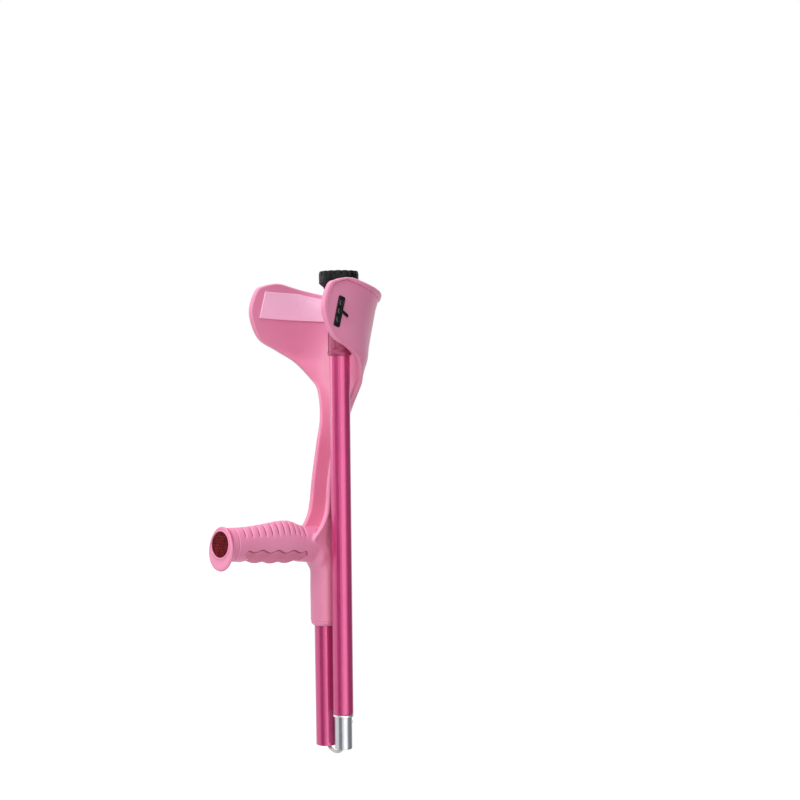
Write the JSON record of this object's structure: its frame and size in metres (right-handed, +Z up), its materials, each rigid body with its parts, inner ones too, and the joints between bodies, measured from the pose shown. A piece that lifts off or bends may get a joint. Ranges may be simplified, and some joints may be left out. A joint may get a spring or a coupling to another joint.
{
  "type": "folding forearm crutch",
  "caption": "Folding forearm crutch with a moulded cuff and hand grip, a plug-in lower leg on an elastic cord, and a height-adjustable rubber-footed tube.",
  "frame": {"origin": "the middle of the palm's hold on the hand grip, on the grip's own axis; the upper tube's axis is 74.7 mm behind it, at +X", "axes": "+Z up the tubes, the grip and the cuff's open front point to -X, and the folded leg stands on the -Y side"},
  "size_m": [0.2191, 0.1202, 0.521],
  "materials": {
    "moulded_pink": "satin moulded",
    "pad_pink": "soft moulded",
    "reflector_red": "clear prismatic",
    "black_plastic": "moulded",
    "strip_pink": "smooth film",
    "tube_pink": "anodised satin",
    "cord_white": "braided",
    "spigot_chrome": "polished",
    "ring_silver": "satin",
    "spring_steel": "bright",
    "collar_pink": "moulded",
    "black_rubber": "matt"
  },
  "bodies": {
    "handle_frame": {"cuff_moulding": "moulded_pink", "finger_pad": "pad_pink", "grip_end_cap": "moulded_pink", "end_reflector": "reflector_red", "slot_insert": "black_plastic", "inner_strip": "strip_pink", "upper_tube": "tube_pink", "cord_anchor_plug": "black_plastic", "cord_knot_upper": "cord_white", "cord_upper": "cord_white"},
    "cord_draw": {"cord_bend_upper": "cord_white"},
    "cord_turn": {"cord_bend_lower": "cord_white"},
    "cord_end": {"cord_lower": "cord_white", "cord_knot_lower": "cord_white"},
    "leg": {"cord_stop_plug": "black_plastic", "spigot": "spigot_chrome", "joint_ring": "ring_silver", "leg_outer_tube": "tube_pink", "collar": "collar_pink"},
    "fold_button": {"fold_spring_button": "spring_steel"},
    "lower_leg": {"inner_tube": "tube_pink", "glide_bush": "black_plastic", "tube_end_plug": "black_plastic", "ferrule_washer": "spring_steel", "ferrule": "black_rubber"},
    "height_button": {"height_spring_button": "spring_steel"}
  },
  "joints": [
    {"name": "unfold_draw", "type": "slide", "parent": "handle_frame", "child": "cord_draw", "axis": [-0.0872, 0.9962, 0], "range_m": [0, 0.02737]},
    {"name": "unfold", "type": "hinge", "parent": "cord_draw", "child": "cord_turn", "pos_m": [0.0756, -0.02737, -0.23919], "axis": [0.0872, -0.9962, 0], "range_deg": [0, 180.4], "deforming": ["cord_bend_upper", "cord_bend_lower"]},
    {"name": "insert", "type": "slide", "parent": "cord_turn", "child": "cord_end", "axis": [-0.007, -0.0006, -1], "range_m": [0, 0.0662]},
    {"name": "twist", "type": "hinge", "parent": "cord_end", "child": "leg", "pos_m": [0.07427, -0.02749, -0.22318], "axis": [0.007, 0.0006, 1], "range_deg": [0, 180]},
    {"name": "fold_button_press", "type": "slide", "parent": "leg", "child": "fold_button", "axis": [-0.9848, -0.1736, 0.007], "range_m": [0, 0.0045], "stiffness_N_per_m": 1500, "springref_m": -0.002, "deforming": ["fold_spring_button"]},
    {"name": "height", "type": "slide", "parent": "leg", "child": "lower_leg", "axis": [0.007, 0.0006, 1], "range_m": [-0.0254, 0.2032]},
    {"name": "height_button_press", "type": "slide", "parent": "lower_leg", "child": "height_button", "axis": [-0.9848, -0.1736, 0.007], "range_m": [0, 0.0045], "stiffness_N_per_m": 1500, "springref_m": -0.002, "deforming": ["height_spring_button"]}
  ],
  "couplings": [
    {"joint": "unfold_draw", "follows": "unfold", "m_per_rad": 0.008687}
  ]
}
